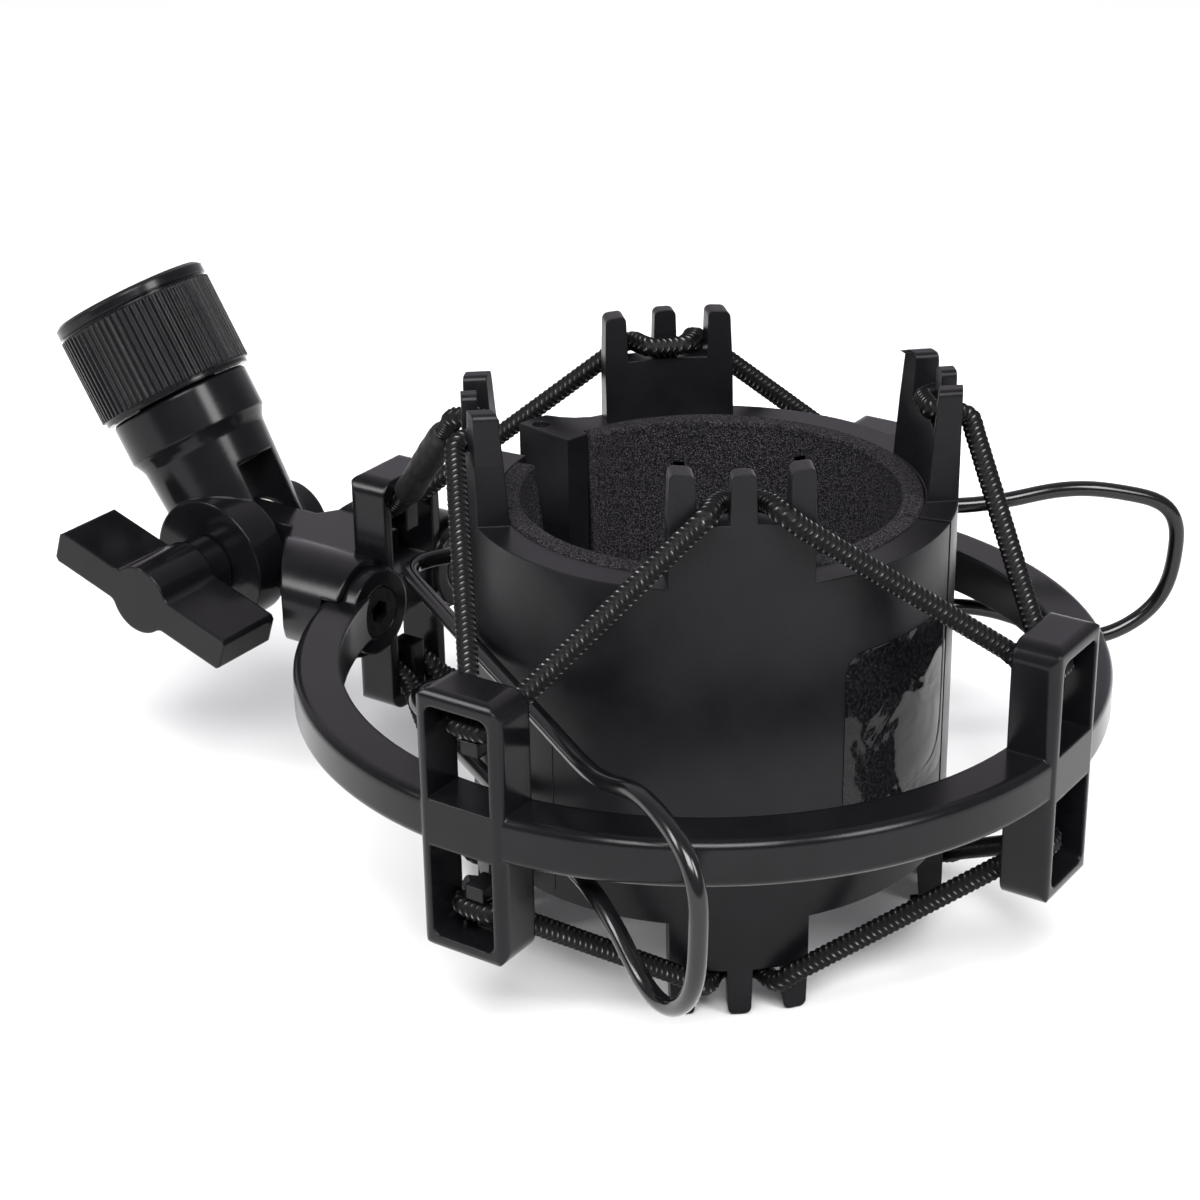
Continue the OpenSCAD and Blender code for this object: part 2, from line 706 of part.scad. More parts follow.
module knurl_outline() {
    polygon([for (i = [0:knurl_n - 1], s = [0, 0.3, 0.5, 0.8])
        let (a = 360 * (i + s) / knurl_n, r = collar_d / 2 - (s < 0.4 ? 0 : knurl_depth))
        [r * cos(a), r * sin(a)]]);
}

module collar() {
    lip = 1.8;
    lip_edge = 0.5;
    lip_d = collar_d - 0.2;
    color("#171718") at_socket() translate([0, 0, collar_off]) difference() {
        union() {
            cylinder(h = collar_l - lip, r = collar_d / 2 - knurl_depth - 0.1, $fn = 96);
            translate([0, 0, 0.8]) linear_extrude(collar_l - lip - 1.3) knurl_outline();
            translate([0, 0, collar_l - lip]) cylinder(h = lip - lip_edge, d = lip_d, $fn = 96);
            translate([0, 0, collar_l - lip_edge])
                cylinder(h = lip_edge, d1 = lip_d, d2 = lip_d - 1.2, $fn = 96);
        }
        translate([0, 0, -1]) cylinder(h = flange_t + 2, d = spigot_d + 2 * fit, $fn = 96);
        translate([0, 0, flange_t])
            cylinder(h = collar_l, r = insert_r + insert_wall + 0.05, $fn = 96);
    }
}

module collar_clip() {
    color("#77777a") at_socket() translate([0, 0, collar_off + flange_t + 0.25])
        difference() {
            cylinder(h = clip_t - 0.1, d = spigot_d + 3.4);
            translate([0, 0, -1]) cylinder(h = 4, d = spigot_d - 1.5);
            translate([0, -1.4, -1]) cube([12, 2.8, 4]);
        }
}

module thread_insert() {
    color("#b08d4a") at_socket() translate([0, 0, collar_off + collar_l - insert_l - 0.4])
        difference() {
            cylinder(h = insert_l, r = insert_r + insert_wall, $fn = 96);
            translate([0, 0, -1]) cylinder(h = insert_l + 2, r = insert_r, $fn = 96);
        }
}

// ---- wing knob ----

knob_y = -(ears_w / 2 + 0.3);

// Points of an arc about c, from one direction to another
function arc(c, r, from, to, n) = [for (i = [0:n])
    let (a = from + (to - from) * i / n) c + r * [cos(a), sin(a)]];

// A bar with chamfered ends, and a round hub that runs out into it
module knob_outline() {
    w = bar_l / 2;
    t = bar_h / 2;
    hub = hub_d / 2;
    run = sqrt(pow(hub + hub_run, 2) - pow(t + hub_run, 2));
    lean = atan2(t + hub_run, run);
    half = concat([[w, t - bar_chamfer], [w - bar_chamfer, t]],
        arc([run, t + hub_run], hub_run, 270, 180 + lean, 4),
        arc([0, 0], hub, lean + 4, 176 - lean, 16),
        arc([-run, t + hub_run], hub_run, 360 - lean, 270, 4),
        [[bar_chamfer - w, t], [-w, t - bar_chamfer]]);
    polygon(concat(half, [for (p = half) -p]));
}

module wing_knob() {
    color("#1b1b1d") translate([tilt_x, knob_y, 0]) rotate([90, 0, 0]) rotate([0, 0, -bar_turn])
        difference() {
            union() {
                cylinder(h = knob_neck_l + 0.5, d = knob_neck_d);
                translate([0, 0, knob_neck_l]) linear_extrude(bar_depth) knob_outline();
            }
            translate([0, 0, -1]) cylinder(h = knob_neck_l + bar_depth * 0.7, r = stud_r + 0.02);
        }
}

module knob_stud() {
    color("#7d7d80") translate([tilt_x, nut_face - 0.2, 0]) rotate([90, 0, 0])
        cylinder(h = nut_face + ears_w / 2 + knob_neck_l + bar_depth * 0.6, r = stud_r);
}

outer_ring();
bracket_arm();
bracket_screws();
front_shell();
rear_shell();
front_foam();
rear_foam();
hinge_pin();
hinge_spring();
front_handle();
rear_handle();
top_elastic();
top_sleeve();
bottom_elastic();
bottom_sleeve();
stand_socket();
tilt_washers();
tilt_nut();
collar();
collar_clip();
thread_insert();
wing_knob();
knob_stud();
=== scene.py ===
import math

import bpy
import numpy as np
from mathutils import Matrix, Vector, noise


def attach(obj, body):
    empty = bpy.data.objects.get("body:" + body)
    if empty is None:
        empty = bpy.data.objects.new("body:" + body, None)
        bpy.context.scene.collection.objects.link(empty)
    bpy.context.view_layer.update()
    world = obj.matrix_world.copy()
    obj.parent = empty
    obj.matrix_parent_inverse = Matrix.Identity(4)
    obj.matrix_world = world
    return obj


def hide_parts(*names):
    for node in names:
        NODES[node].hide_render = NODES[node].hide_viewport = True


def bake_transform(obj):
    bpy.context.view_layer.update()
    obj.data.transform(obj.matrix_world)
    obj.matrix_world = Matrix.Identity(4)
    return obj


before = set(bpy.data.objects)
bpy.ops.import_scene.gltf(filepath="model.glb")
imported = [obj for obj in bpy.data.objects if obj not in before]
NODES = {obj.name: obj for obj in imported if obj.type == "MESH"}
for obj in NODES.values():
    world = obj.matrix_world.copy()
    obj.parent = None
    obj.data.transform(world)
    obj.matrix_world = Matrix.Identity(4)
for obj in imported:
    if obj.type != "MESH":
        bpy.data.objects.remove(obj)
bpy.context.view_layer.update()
MM = 0.001

# ---------------------------------------------------------------- helpers
def polar(r, a, z=0.0):
    return np.array([r * math.cos(math.radians(a)), r * math.sin(math.radians(a)), z])


def unit(v):
    return v / np.linalg.norm(v)


# ---------------------------------------------------------------- sizes, as in the part's source (mm)
HANG_X = 1.4
RING_IN = 46.9
SHELL_R, SHELL_WALL = 31.2, 4.1
FOAM_R, FOAM_T, FOAM_GAP = 27.1, 2.9, 0.05
RIM_TOP, RIM_BOTTOM = 24.7, 20.4
SHELF_TOP, SHELF_BOTTOM = RIM_TOP + 8.2, -(RIM_BOTTOM + 6.6)
CORD_D, WIRE_D, SLEEVE_D, SLEEVE_L = 2.6, 2.2, 4.0, 23.0
GROUPS = [42.0, 133.8, 218.7, 308.8]
SLIT_ANGLE, SLIT = 12.6, 0.8
PIN = polar(33, 165.5)
LUG_ROOT = polar(SHELL_R - SHELL_WALL / 2, 188)
FLOOR_Z = -33.5

# where a cord turns from one body's motion to the next: radii from the ring's centre by a yoke,
# and shares of the stretch between a yoke and a group of fingers
YOKE_OUT, YOKE_IN, SLEEVED_YOKE, SLEEVED_IN = 45.5, 39.5, 2, 34
CUT, CUT_SLEEVED, TURN, TURN_SLEEVED, TURN_END = 0.5, 0.62, 0.53, 0.66, 0.87

# the label film's place on the barrel: azimuths in degrees, heights in mm
LABEL_LEFT, LABEL_TOP, LABEL_LOW = 333, 14.3, -8.2
SEAM_ANGLE, SEAM_LOW, SEAM_TOP = 263.5, -19.4, 1.7


# ---------------------------------------------------------------- material helpers
def new_material(name, colour, rough, spec=0.35, metal=0.0):
    mat = bpy.data.materials.new(name)
    mat.use_nodes = True
    t = mat.node_tree
    b = t.nodes["Principled BSDF"]
    b.inputs["Base Color"].default_value = (*colour, 1)
    b.inputs["Roughness"].default_value = rough
    b.inputs["Specular IOR Level"].default_value = spec
    b.inputs["Metallic"].default_value = metal
    return mat, t, b


def node(t, kind, values=None, **props):
    n = t.nodes.new(kind)
    for k, v in props.items():
        setattr(n, k, v)
    for k, v in (values or {}).items():
        n.inputs[k].default_value = v
    return n


def texture(t, kind, values, **props):
    """A texture node that reads the piece's own coordinates."""
    n = node(t, kind, values, **props)
    t.links.new(node(t, "ShaderNodeTexCoord").outputs["Object"], n.inputs["Vector"])
    return n


def bump(t, b, height, strength, distance, normal=None):
    n = node(t, "ShaderNodeBump", {"Strength": strength, "Distance": distance})
    t.links.new(height, n.inputs["Height"])
    if normal:
        t.links.new(normal, n.inputs["Normal"])
    t.links.new(n.outputs[0], b.inputs["Normal"])


def grey(x):
    return (x, x, x)


def ramp(t, source, stops):
    r = node(t, "ShaderNodeValToRGB")
    e = r.color_ramp.elements
    while len(e) < len(stops):
        e.new(0.5)
    for x, (pos, col) in zip(e, stops):
        x.position = pos
        x.color = (*col, 1) if len(col) == 3 else col
    t.links.new(source, r.inputs[0])
    return r.outputs[0]


# ---------------------------------------------------------------- camera and light
def camera():
    data = bpy.data.cameras.new("camera")
    data.lens, data.sensor_width, data.sensor_fit = 81.02, 36.0, "HORIZONTAL"
    data.clip_start, data.clip_end = 0.01, 20
    cam = bpy.data.objects.new("camera", data)
    bpy.context.scene.collection.objects.link(cam)
    fwd = Vector((-0.51192906, 0.7533306, -0.41282156)).normalized()
    up = Vector((-0.21956357, 0.34985874, 0.9107089)).normalized()
    right = fwd.cross(up)
    m = Matrix((right, up, -fwd)).transposed().to_4x4()
    m.translation = Vector((0.16804202 - 0.0014, -0.27048542, 0.1535625))
    cam.matrix_world = m
    bpy.context.scene.camera = cam


def area(name, place, target, size, power):
    data = bpy.data.lights.new(name, "AREA")
    data.shape, data.size, data.size_y = "RECTANGLE", size[0], size[1]
    data.energy = power
    o = bpy.data.objects.new(name, data)
    bpy.context.scene.collection.objects.link(o)
    o.location = place
    o.rotation_euler = (Vector(target) - Vector(place)).to_track_quat("-Z", "Y").to_euler()


def softbox(name, azimuth, height, span, radiance, far=1.1):
    """A soft light of a given span in degrees, seen from the object."""
    e = math.radians(height)
    place = polar(far, azimuth) * math.cos(e) + [0, 0, far * math.sin(e)]
    size = [2 * far * math.tan(math.radians(x / 2)) for x in span]
    area(name, tuple(place), (0, 0, 0), size, radiance * math.pi * size[0] * size[1])


def stage():
    world = bpy.data.worlds.new("world")
    bpy.context.scene.world = world
    world.use_nodes = True
    t = world.node_tree
    way = node(t, "ShaderNodeTexCoord").outputs["Generated"]
    dot = node(t, "ShaderNodeVectorMath", operation="DOT_PRODUCT")
    t.links.new(way, dot.inputs[0])
    height, azimuth = math.radians(18), 124
    dot.inputs[1].default_value = tuple(polar(math.cos(height), azimuth, math.sin(height)))
    back = ramp(t, dot.outputs["Value"], [(0.45, (0.34, 0.34, 0.35)), (0.8, (0.7, 0.66, 0.72))])
    t.links.new(back, t.nodes["Background"].inputs["Color"])
    mesh = bpy.data.meshes.new("floor")
    s, z = 3.0, FLOOR_Z * MM  # half its width, and its height
    mesh.from_pydata([(-s, -s, z), (s, -s, z), (s, s, z), (-s, s, z)], [], [(0, 1, 2, 3)])
    floor = bpy.data.objects.new("floor", mesh)
    bpy.context.scene.collection.objects.link(floor)
    mat, t, b = new_material("floor", (0.8, 0.8, 0.8), 0.9, 0.0)
    mesh.materials.append(mat)
    softbox("front_light", 300, 52, (34, 26), 20)
    softbox("left_light", 228, 36, (12, 26), 17)
    softbox("right_light", 352, 40, (16, 24), 18)
    view = bpy.context.scene.view_settings
    view.view_transform, view.look = "Standard", "None"


def moulded(name, colour, rough, grain_scale, grain, spec=0.35, bevel=0.25, mottle=0.25):
    """Moulded plastic: fine grain, faint flow mottling and soft edges; bevel is in mm."""
    mat, t, b = new_material(name, colour, rough, spec)
    fine = texture(t, "ShaderNodeTexNoise", {"Scale": grain_scale, "Detail": 3.0, "Roughness": 0.6})
    broad = texture(t, "ShaderNodeTexNoise", {"Scale": 140.0, "Detail": 4.0, "Roughness": 0.55})
    dark = tuple(c * (1 - mottle) for c in colour)
    light = tuple(min(1, c * (1 + mottle)) for c in colour)
    t.links.new(ramp(t, broad.outputs["Fac"], [(0.3, dark), (0.7, light)]), b.inputs["Base Color"])
    sheen = [(0.3, grey(rough * 0.88)), (0.72, grey(min(1, rough * 1.12)))]
    t.links.new(ramp(t, broad.outputs["Fac"], sheen), b.inputs["Roughness"])
    soft = node(t, "ShaderNodeBevel", {"Radius": bevel * MM}, samples=6).outputs[0] if bevel else None
    bump(t, b, fine.outputs["Fac"], grain, 0.00006, soft)
    return mat


def metal(name, colour, rough, streak=0.4):
    mat, t, b = new_material(name, colour, rough, 0.5, 1.0)
    n = texture(t, "ShaderNodeTexNoise", {"Scale": 900.0, "Detail": 3.0})
    streaks = [(0.3, grey(rough * (1 - streak))), (0.7, grey(min(1, rough * (1 + streak))))]
    t.links.new(ramp(t, n.outputs["Fac"], streaks), b.inputs["Roughness"])
    bump(t, b, n.outputs["Fac"], 0.15, 0.00005)
    return mat


def dress(names, mat):
    for n in names:
        o = NODES[n]
        o.data.materials.clear()
        o.data.materials.append(mat)


def add_mesh(name, verts, faces, body=None, mats=(), smooth=True):
    mesh = bpy.data.meshes.new(name)
    mesh.from_pydata([tuple(v) for v in np.asarray(verts) * MM], [], faces)
    mesh.validate()
    if smooth:
        mesh.polygons.foreach_set("use_smooth", [True] * len(mesh.polygons))
    o = bpy.data.objects.new(name, mesh)
    bpy.context.scene.collection.objects.link(o)
    for m in mats:
        mesh.materials.append(m)
    if body:
        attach(o, body)
    return o


# ---------------------------------------------------------------- paths and tubes
def corner(a, b, c, r, n):
    p = b + unit(a - b) * min(r, np.linalg.norm(a - b) * 0.49)
    q = b + unit(c - b) * min(r, np.linalg.norm(c - b) * 0.49)
    return [p * (1 - t) ** 2 + b * 2 * t * (1 - t) + q * t * t for t in np.linspace(0, 1, n + 1)]


def soft_path(p, r, n):
    out = [p[0]]
    for i in range(1, len(p) - 1):
        out += corner(p[i - 1], p[i], p[i + 1], r, n)
    return out + [p[-1]]


def resample(p, step, closed=False):
    p = np.array(p, float)
    if closed:
        p = np.vstack([p, p[:1]])
    seg = np.linalg.norm(np.diff(p, axis=0), axis=1)
    keep = np.r_[True, seg > 1e-6]
    p = p[keep]
    seg = np.linalg.norm(np.diff(p, axis=0), axis=1)
    s = np.r_[0, np.cumsum(seg)]
    n = max(2, int(round(s[-1] / step)))
    u = np.linspace(0, s[-1], n + 1)
    q = np.stack([np.interp(u, s, p[:, k]) for k in range(3)], 1)
    return (q[:-1], u[:-1], s[-1]) if closed else (q, u, s[-1])


def relax(p, times, closed):
    """Rounds a dense path a little, so that a cord bends as a cord does."""
    p = p.copy()
    for _ in range(times):
        if closed:
            p = 0.5 * p + 0.25 * (np.roll(p, 1, 0) + np.roll(p, -1, 0))
        else:
            p[1:-1] = 0.5 * p[1:-1] + 0.25 * (p[:-2] + p[2:])
    return p


def frames(p, closed):
    if closed:
        d = np.roll(p, -1, 0) - np.roll(p, 1, 0)
    else:
        d = np.gradient(p, axis=0)
    d /= np.linalg.norm(d, axis=1)[:, None]
    up = np.array([0, 0, 1.0]) if abs(d[0][2]) < 0.9 else np.array([1.0, 0, 0])
    side = []
    for t in d:
        up = unit(up - t * (up @ t))
        side.append(up)
    side = np.array(side)
    return d, side, np.cross(d, side)


def skin(n, sides, closed=False):
    """The faces of a tube of n rings."""
    i = np.arange(n if closed else n - 1)[:, None]
    k = np.arange(sides)[None, :]
    i2, k2 = (i + 1) % n, (k + 1) % sides
    f = np.stack([i * sides + k, i * sides + k2, i2 * sides + k2, i2 * sides + k], -1).reshape(-1, 4)
    return [tuple(int(x) for x in q) for q in f]


def tube(p, radius, sides, closed=False, caps=True):
    """Vertices and faces of a tube; radius is a number or a function of (station, angle)."""
    d, a, b = frames(p, closed)
    th = np.linspace(0, 2 * math.pi, sides, endpoint=False)
    r = radius if callable(radius) else (lambda i, t: np.full((len(p), sides), radius))
    rr = r(np.arange(len(p))[:, None], th[None, :])
    way = a[:, None, :] * np.cos(th)[None, :, None] + b[:, None, :] * np.sin(th)[None, :, None]
    v = p[:, None, :] + rr[..., None] * way
    n = len(p)
    faces = skin(n, sides, closed)
    v = v.reshape(-1, 3)
    if caps and not closed:
        faces.append(tuple(range(sides - 1, -1, -1)))
        faces.append(tuple((n - 1) * sides + j for j in range(sides)))
    return v, faces


# ---------------------------------------------------------------- handles
LEG_ANGLE, LEG_OFF, LEG_HALF = math.radians(32.6), SHELL_R + WIRE_D / 2 + 0.2, 9.5


def on_leg(side, along):
    """A point on a handle's leg, measured along it from where it passes the basket."""
    c, s = math.cos(LEG_ANGLE), math.sin(LEG_ANGLE)
    return np.array([along * c - LEG_OFF * s, side * (along * s + LEG_OFF * c), 0])


def handle_route(side, splay, reach, rise, root):
    knee, bend, k = on_leg(side, -28.6), on_leg(side, 39), reach / 22
    loop = [(0, 9), (10, rise), (22.6, rise - 4), (21.6, -8), (13, -14), (0, -6)]
    up = np.array([0, 0, LEG_HALF])
    return [root + up, knee + up, *[bend + polar(x * k, splay, z) for x, z in loop], knee - up, root - up]


def handles(mat):
    for name, body, route in [
        ("front_handle", "front_half", handle_route(-1, -28, 22, 13, (PIN + LUG_ROOT) / 2)),
        ("rear_handle", "rear_half", handle_route(1, 42, 28, 11.4, polar(SHELL_R - 0.6, 157))),
    ]:
        p, _, _ = resample(soft_path(route, 6, 5), 0.8)
        p = relax(p, 6, False)
        v, f = tube(p, WIRE_D / 2, 20)
        o = add_mesh(name + "_wire", v, f, body, [mat])
        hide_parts(name)


# ---------------------------------------------------------------- elastics
CORD_REST = CORD_D / 2 + 0.15
FINGER_W, GROUP_W, CENTRE_T = 3.3, 17.4, 2.0
PITCH = (GROUP_W - FINGER_W) / 2
TONGUE_W, TONGUE_T, WINDOW_W = 2.6, 1.7, 9.0
NUB_Z, NUB_H = 17.2 - 1.9 - 6.6, 1.9
HOOK_Z = NUB_Z + NUB_H + CORD_REST


def stops(origin, a, z, table):
    """Stops on both sides of the direction a: across, out, and away from the ring's plane."""
    u, v = polar(1, a), polar(1, a + 90)
    s = math.copysign(1, z)
    table = [(-x, y, lift) for x, y, lift in reversed(table)] + table
    return [np.array([origin, 0, z + s * lift]) + u * y + v * x for x, y, lift in table]


def group_stops(a, z):
    """Inside the centre finger, then out through the slots and over the outer fingers."""
    w = FINGER_W / 2
    edge = PITCH - w
    lift = CORD_REST + 0.2
    return stops(0, a, z, [
        (w + 0.6, SHELL_R - CENTRE_T - CORD_REST, lift), (PITCH / 2, SHELL_R - 1.6, lift + 0.1),
        (edge - 1.5, SHELL_R - 0.1, lift + 0.05), (edge - 0.5, SHELL_R + CORD_REST - 0.4, lift - 0.35),
        (edge + 0.7, SHELL_R + CORD_REST - 0.35, lift - 1.45)])


def yoke_stops(a, z):
    """Round the outside of the tongue and back in through the window's slots."""
    slot, out = (TONGUE_W + WINDOW_W) / 4, RING_IN + TONGUE_T + CORD_REST
    return stops(-HANG_X, a, z, [
        (TONGUE_W / 2, out + 0.1, 0), (slot - 0.6, out - 0.15, 0), (slot, out - 1.1, 0),
        (slot - 0.1, RING_IN, 1.2), (slot + 0.6, RING_IN - 1.5, 2.65)])


BRAID_N = 6  # strands each way
BRAID_PITCH = 0.8
CORD_SIDES = 36


def braid(s, th):
    """Height and tone of a two-over-two braid at a length s and an angle th round the cord."""
    a = BRAID_N * th / (2 * math.pi) + s / BRAID_PITCH
    b = BRAID_N * th / (2 * math.pi) - s / BRAID_PITCH
    ia, ib = np.floor(a), np.floor(b)
    fa, fb = a - ia - 0.5, b - ib - 0.5
    k = np.mod(ia + ib, 4)
    on_a = k < 2
    ua = (k + fb + 0.5) / 2
    ub = (np.mod(k - 2, 4) + fa + 0.5) / 2
    ha = np.cos(math.pi * fa) * (0.35 + 0.65 * np.sin(math.pi * np.clip(ua, 0, 1)))
    hb = np.cos(math.pi * fb) * (0.35 + 0.65 * np.sin(math.pi * np.clip(ub, 0, 1)))
    h = np.where(on_a, ha, hb)
    strand = np.where(on_a, np.mod(ia, BRAID_N) * 7.13 + 1.7 * np.floor((ib + ia) / 4),
                      np.mod(ib, BRAID_N) * 3.71 + 40 + 2.3 * np.floor((ia - ib) / 4))
    tone = np.mod(np.sin(strand * 12.9898) * 43758.5453, 1.0)
    return h, tone


def braid_material():
    mat, t, b = new_material("braid", (0.02, 0.02, 0.022), 0.6, 0.14)
    att = node(t, "ShaderNodeAttribute", attribute_name="weave")
    sep = node(t, "ShaderNodeSeparateColor")
    t.links.new(att.outputs["Color"], sep.inputs[0])
    # Base colour follows the weave height: the low gaps between strands are painted near black as shade,
    # and the strand crowns are painted light, partly the yarn's own grey and partly a painted highlight.
    body = ramp(t, sep.outputs[0], [(0.45, (0.0008, 0.0008, 0.001)), (0.82, (0.006, 0.006, 0.0068)),
                                    (0.98, (0.17, 0.17, 0.172))])
    fleck = ramp(t, sep.outputs[1], [(0.0, grey(0.55)), (0.6, grey(1.0)), (1.0, grey(1.7))])
    mix = node(t, "ShaderNodeMix", data_type="RGBA", blend_type="MULTIPLY")
    mix.inputs[0].default_value = 1.0
    t.links.new(body, mix.inputs[6])
    t.links.new(fleck, mix.inputs[7])
    t.links.new(mix.outputs[2], b.inputs["Base Color"])
    fibre = texture(t, "ShaderNodeTexNoise", {"Scale": 9000.0, "Detail": 2.0})
    bump(t, b, fibre.outputs["Fac"], 0.5, 0.00005)
    return mat


def cord_path(shelf, hook):
    """The loop's middle line, with its length at each point and its whole length."""
    p = []
    for k in range(4):
        p += yoke_stops(90 * k, hook) + group_stops(GROUPS[k], shelf)
    q, s, total = resample(p, 0.2, closed=True)
    return relax(q, 14, True), s, total


def on_span(k, g, share):
    """A point in plan on the stretch of cord between a yoke and a group of fingers."""
    yokes, fingers = yoke_stops(90 * k, 1.0), group_stops(GROUPS[g], 1.0)
    y, f = (yokes[0], fingers[-1]) if g == (k - 1) % 4 else (yokes[-1], fingers[0])
    return (y * (1 - share) + f * share) * [1, 1, 0]


def cord_cuts(q):
    """Places where the loop is cut: on each stretch (point, yoke, group) and in each group's middle."""
    marks = []
    for k in range(4):
        for g in (k, (k - 1) % 4):
            marks.append((on_span(k, g, CUT_SLEEVED if k == SLEEVED_YOKE else CUT), k, g))
        marks.append((polar(SHELL_R - 3.5, GROUPS[k]), -1, k))
    return sorted((int(np.argmin(np.hypot(q[:, 0] - m[0], q[:, 1] - m[1]))), y, g) for m, y, g in marks)


def cord_piece(name, v, h, tone, mat):
    """One stretch of the braided tube, which carries its weave as a colour."""
    o = add_mesh(name, v.reshape(-1, 3), skin(*v.shape[:2]), None, [mat])
    att = o.data.color_attributes.new("weave", "FLOAT_COLOR", "POINT")
    col = np.ones((h.size, 4), np.float32)
    col[:, 0], col[:, 1] = h.reshape(-1), tone.reshape(-1)
    att.data.foreach_set("color", col.ravel())
    return o


def elastics(mat, rubber):
    for level, shelf, hook in (("top", SHELF_TOP, HOOK_Z), ("bottom", SHELF_BOTTOM, -HOOK_Z)):
        q, s, total = cord_path(shelf, hook)
        # a whole number of braid repeats round the loop
        s = s * (round(total / BRAID_PITCH) * BRAID_PITCH / total)
        weave = {}

        def radius(i, th, s=s, weave=weave):
            weave["h"], weave["tone"] = braid(s[i], th)
            return CORD_D / 2 - 0.2 + 0.28 * weave["h"]

        v, _ = tube(q, radius, CORD_SIDES, closed=True)
        v = v.reshape(len(q), CORD_SIDES, 3)
        cuts = cord_cuts(q)
        for j, (a, y0, g0) in enumerate(cuts):
            b, y1, _ = cuts[(j + 1) % len(cuts)]
            idx = np.arange(a, b + 1) if b > a else np.r_[np.arange(a, len(q)), np.arange(0, b + 1)]
            at_yoke = y0 >= 0 and y1 >= 0
            place = f"yoke_{y0 * 90:03d}" if at_yoke else f"group_{g0}_{'b' if y0 < 0 else 'a'}"
            o = cord_piece(f"{level}_elastic_{place}", v[idx], weave["h"][idx], weave["tone"][idx], mat)
            if at_yoke:
                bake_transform(o)
            else:
                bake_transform(o)
            if j == 0:
                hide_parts(f"{level}_elastic")
        sleeve(level, rubber)


def sleeve(level, mat):
    """The splice tube, pulled in at both ends and a little wavy."""
    if level == "top":
        a, b = yoke_stops(180, HOOK_Z)[-1], group_stops(GROUPS[2], SHELF_TOP)[0]
        start = 2.0
    else:
        a, b = group_stops(GROUPS[1], SHELF_BOTTOM)[-1], yoke_stops(180, -HOOK_Z)[0]
        start = 3.5
    d = unit(b - a)
    p = np.array([a + d * x for x in np.linspace(start, start + SLEEVE_L, 90)])
    x = np.linspace(0, 1, 90)
    pull, reach = 0.42, 0.03
    r0 = SLEEVE_D / 2 - 0.04 - pull * np.exp(-((x / reach) ** 2)) - pull * np.exp(-(((1 - x) / reach) ** 2))

    def radius(i, th):
        wob = 0.05 * np.sin(th * 2 + i * 0.11) + 0.03 * np.sin(i * 0.42 + th)
        return np.broadcast_to(r0[i] + wob, np.broadcast_shapes(i.shape, th.shape))

    v, f = tube(p, radius, 28)
    o = add_mesh(level + "_sleeve_tube", v, f, None, [mat])
    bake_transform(o)
    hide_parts(level + "_sleeve")


# ---------------------------------------------------------------- foam
def foam_material():
    mat, t, b = new_material("foam", (0.03, 0.026, 0.032), 0.9, 0.15)
    cell = texture(t, "ShaderNodeTexVoronoi", {"Scale": 3300.0, "Randomness": 1.0},
                   feature="DISTANCE_TO_EDGE")
    grain = texture(t, "ShaderNodeTexNoise", {"Scale": 3400.0, "Detail": 3.0, "Roughness": 0.75})
    mix = node(t, "ShaderNodeMath", operation="MULTIPLY_ADD")
    t.links.new(cell.outputs["Distance"], mix.inputs[0])
    mix.inputs[1].default_value = 0.8
    t.links.new(grain.outputs["Fac"], mix.inputs[2])
    # The tone follows the bump height: the cell tops keep the foam's own dark grey, and the hollows at the
    # cell edges are painted near black as shade.
    tones = [(0.46, (0.0006, 0.0005, 0.0007)), (0.6, (0.008, 0.007, 0.0085)), (0.8, (0.055, 0.05, 0.058))]
    t.links.new(ramp(t, mix.outputs[0], tones), b.inputs["Base Color"])
    bump(t, b, mix.outputs[0], 1.0, 0.00035)
    return mat


def foam_profile(r0, r1, z0, z1, c):
    """The lining's section: up the inside, over the rounded top, down the outside and back."""
    quarter = math.pi / 2
    prof = [(r0, z) for z in np.arange(z0 + c, z1 - c, 0.45)]
    prof += [(r0 + c * (1 - math.cos(t)), z1 - c + c * math.sin(t)) for t in np.linspace(0, quarter, 5)]
    prof += [(r, z1) for r in np.linspace(r0 + c, r1 - c, 6)[1:]]
    prof += [(r1 - c + c * math.sin(t), z1 - c + c * math.cos(t)) for t in np.linspace(0, quarter, 4)[1:]]
    prof += [(r1, z) for z in np.linspace(z1 - c, z0 + c, 12)[1:]]
    prof += [(r, z0) for r in np.linspace(r1 - c, r0 + c, 6)]
    return np.array(prof)


